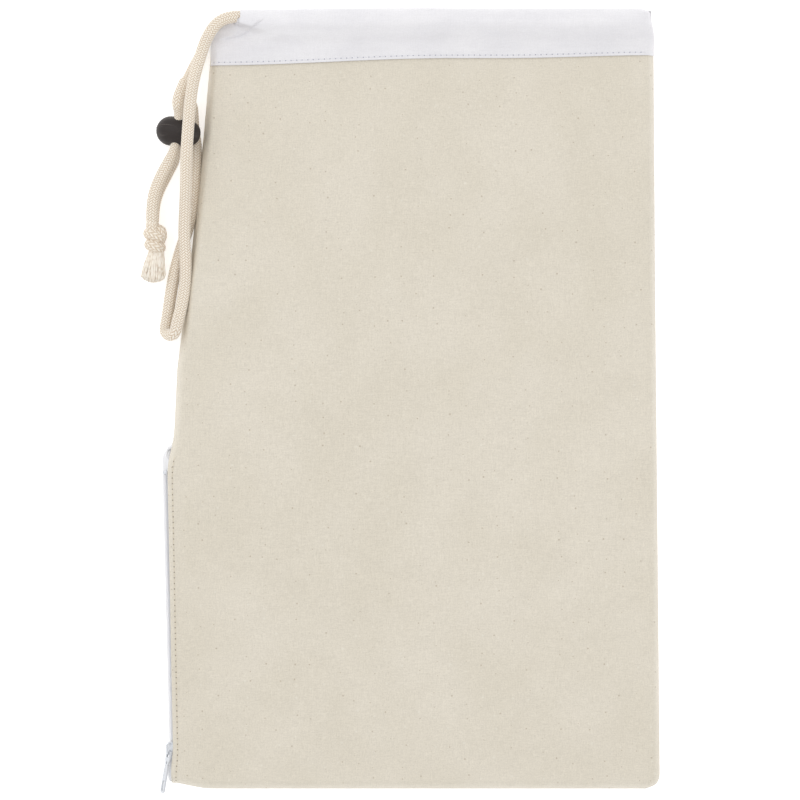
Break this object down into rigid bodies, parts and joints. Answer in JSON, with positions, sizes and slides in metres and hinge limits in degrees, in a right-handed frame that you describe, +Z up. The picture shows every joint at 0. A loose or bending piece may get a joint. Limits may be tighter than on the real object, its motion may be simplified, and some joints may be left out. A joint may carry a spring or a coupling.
{
  "type": "laundry bag",
  "caption": "Flat cotton drawstring laundry bag with a contrasting header band, a sprung cord lock on a knotted cord, and a side zip near the foot.",
  "frame": {"origin": "on the underside of the back panel, near the middle of the bag lying flat", "axes": "+Y from the foot to the mouth, +X to the right across the front, +Z up from the table towards the front panel"},
  "size_m": [0.3003, 0.452, 0.0298],
  "materials": {
    "canvas": "plain-woven natural cotton with seed flecks",
    "header_cotton": "fine bleached cotton",
    "thread": "white sewing thread",
    "canvas_thread": "beige sewing thread",
    "zip_tape": "white woven tape",
    "zip_coil": "white nylon coil",
    "zip_metal": "pale grey lacquered zinc",
    "lock_plastic": "matt black moulded plastic",
    "spring_steel": "bright spring wire",
    "cotton_cord": "braided unbleached cotton"
  },
  "bodies": {
    "root": {"front_panel": "canvas", "back_panel": "canvas", "header_front": "header_cotton", "header_back": "header_cotton", "header_stitch_front": "thread", "header_stitch_back": "thread", "left_seam_allowance": "canvas", "right_seam_allowance": "canvas", "foot_seam_allowance": "canvas", "seam_threads": "thread", "zip_tape_front": "zip_tape", "zip_tape_back": "zip_tape", "zip_coil_front": "zip_coil", "zip_coil_back": "zip_coil", "zip_stop_head": "zip_metal", "zip_stop_foot": "zip_metal", "zip_stitch_front": "canvas_thread", "zip_stitch_back": "canvas_thread", "drawcord_channel_run": "cotton_cord", "drawcord_short_end": "cotton_cord", "drawcord_long_end": "cotton_cord", "cord_knot": "cotton_cord", "cord_tails": "cotton_cord"},
    "slider": {"zip_slider": "zip_metal"},
    "pull": {"zip_pull": "zip_metal"},
    "lock": {"lock_barrel": "lock_plastic", "lock_spring": "spring_steel"},
    "plunger": {"lock_plunger": "lock_plastic"}
  },
  "joints": [
    {"name": "zip_slide", "type": "slide", "parent": "root", "child": "slider", "axis": [-0.0249, 0.9997, 0], "range_m": [0, 0.152]},
    {"name": "pull_swing", "type": "hinge", "parent": "slider", "child": "pull", "pos_m": [-0.1425, -0.20421, 0.00641], "axis": [-0.5735, -0.0143, -0.8191], "range_deg": [-5, 105]},
    {"name": "lock_slide", "type": "slide", "parent": "root", "child": "lock", "axis": [-0.1392, -0.9903, 0], "range_m": [0, 0.01], "deforming": ["drawcord_short_end", "drawcord_long_end"]},
    {"name": "plunger_press", "type": "slide", "parent": "lock", "child": "plunger", "axis": [-0.9686, 0.1361, -0.2079], "range_m": [0, 0.0032], "stiffness_N_per_m": 900, "springref_m": -0.003, "deforming": ["lock_spring"]}
  ]
}
